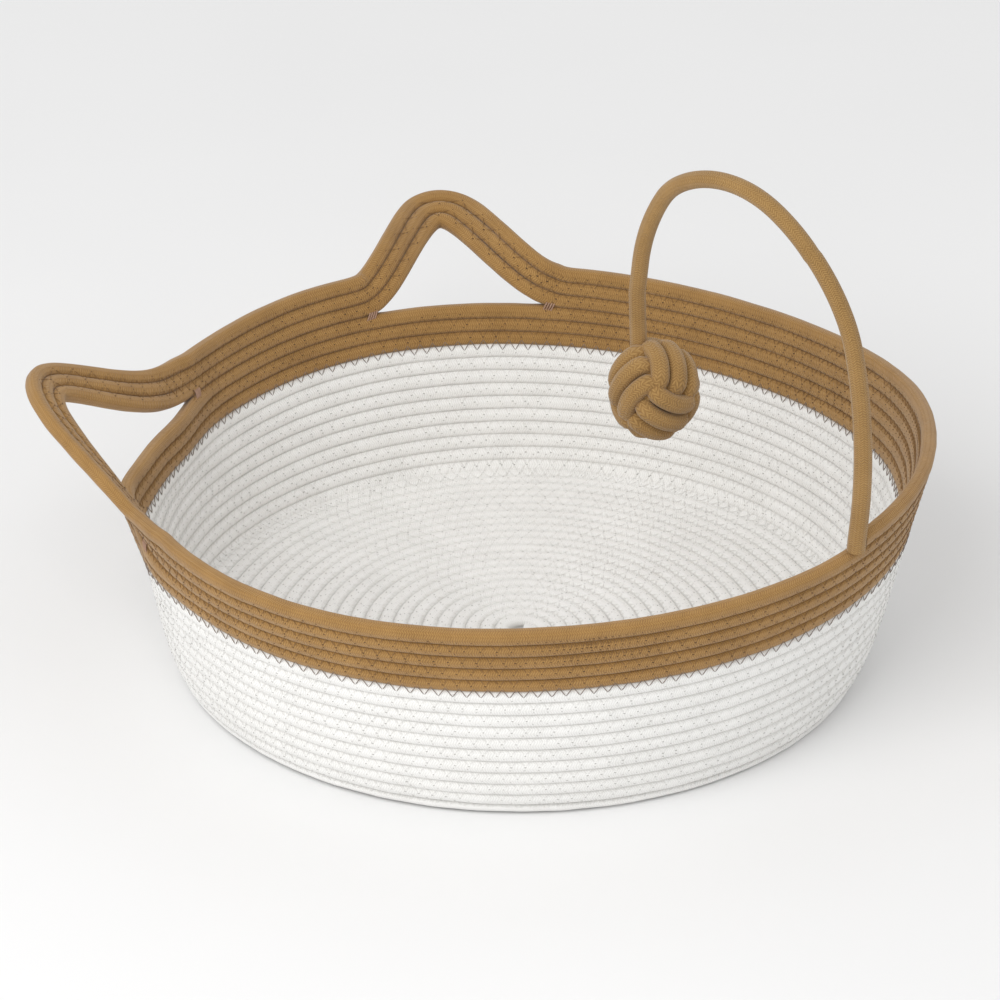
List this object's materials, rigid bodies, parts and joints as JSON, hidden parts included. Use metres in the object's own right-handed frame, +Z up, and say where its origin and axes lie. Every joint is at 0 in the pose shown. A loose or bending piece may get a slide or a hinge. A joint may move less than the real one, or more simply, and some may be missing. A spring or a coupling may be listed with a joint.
{
  "type": "coiled rope pet basket",
  "caption": "Round coiled-rope pet basket with a white wall, a brown rim band that rises into two open ears, and a springy rope arm that dangles a knotted ball.",
  "frame": {"origin": "centre of the base's flat underside, on the surface the basket stands on", "axes": "+Z up, +Y towards the back between the two ears, +X to the right seen from the front"},
  "size_m": [0.4056, 0.423, 0.3096],
  "materials": {
    "white_rope": "matt cotton cord",
    "brown_rope": "matt dyed cotton cord",
    "arm_rope": "matt braided cotton rope",
    "thread": "polyester sewing thread",
    "spring_wire": "drawn spring wire",
    "wooden_ball": "plain turned beech"
  },
  "bodies": {
    "basket": {"base_coil": "white_rope", "white_course_01": "white_rope", "white_course_02": "white_rope", "white_course_03": "white_rope", "white_course_04": "white_rope", "white_course_05": "white_rope", "white_course_06": "white_rope", "white_course_07": "white_rope", "white_course_08": "white_rope", "white_course_09": "white_rope", "white_course_10": "white_rope", "white_course_11": "white_rope", "brown_course_1": "brown_rope", "brown_course_2": "brown_rope", "ear_course_inner": "brown_rope", "ear_course_middle": "brown_rope", "ear_course_outer": "brown_rope", "ear_bar_tacks": "thread"},
    "arm_foot": {"arm_rope_foot": "arm_rope"},
    "arm": {"arm_rope_arch": "arm_rope", "arm_core_wire": "spring_wire"},
    "drop_link": {"drop_rope_link": "arm_rope"},
    "toy": {"drop_rope_tail": "arm_rope", "knot_wrap_a": "arm_rope", "knot_wrap_b": "arm_rope", "knot_wrap_c": "arm_rope", "knot_core": "wooden_ball"}
  },
  "joints": [
    {"name": "arm_sway", "type": "hinge", "parent": "basket", "child": "arm_foot", "pos_m": [0.026, -0.19748, 0.12554], "axis": [0.1305, -0.9914, 0], "range_deg": [-20, 20]},
    {"name": "arm_lean", "type": "hinge", "parent": "arm_foot", "child": "arm", "pos_m": [0.02643, -0.20078, 0.14119], "axis": [-0.9914, -0.1305, 0], "range_deg": [-15, 30]},
    {"name": "toy_swing", "type": "hinge", "parent": "arm", "child": "drop_link", "pos_m": [0.01017, -0.07728, 0.24416], "axis": [-0.9914, -0.1305, 0], "range_deg": [-40, 40]},
    {"name": "toy_sideways", "type": "hinge", "parent": "drop_link", "child": "toy", "pos_m": [0.0099, -0.07522, 0.22729], "axis": [0.1305, -0.9914, 0], "range_deg": [-40, 40]}
  ]
}
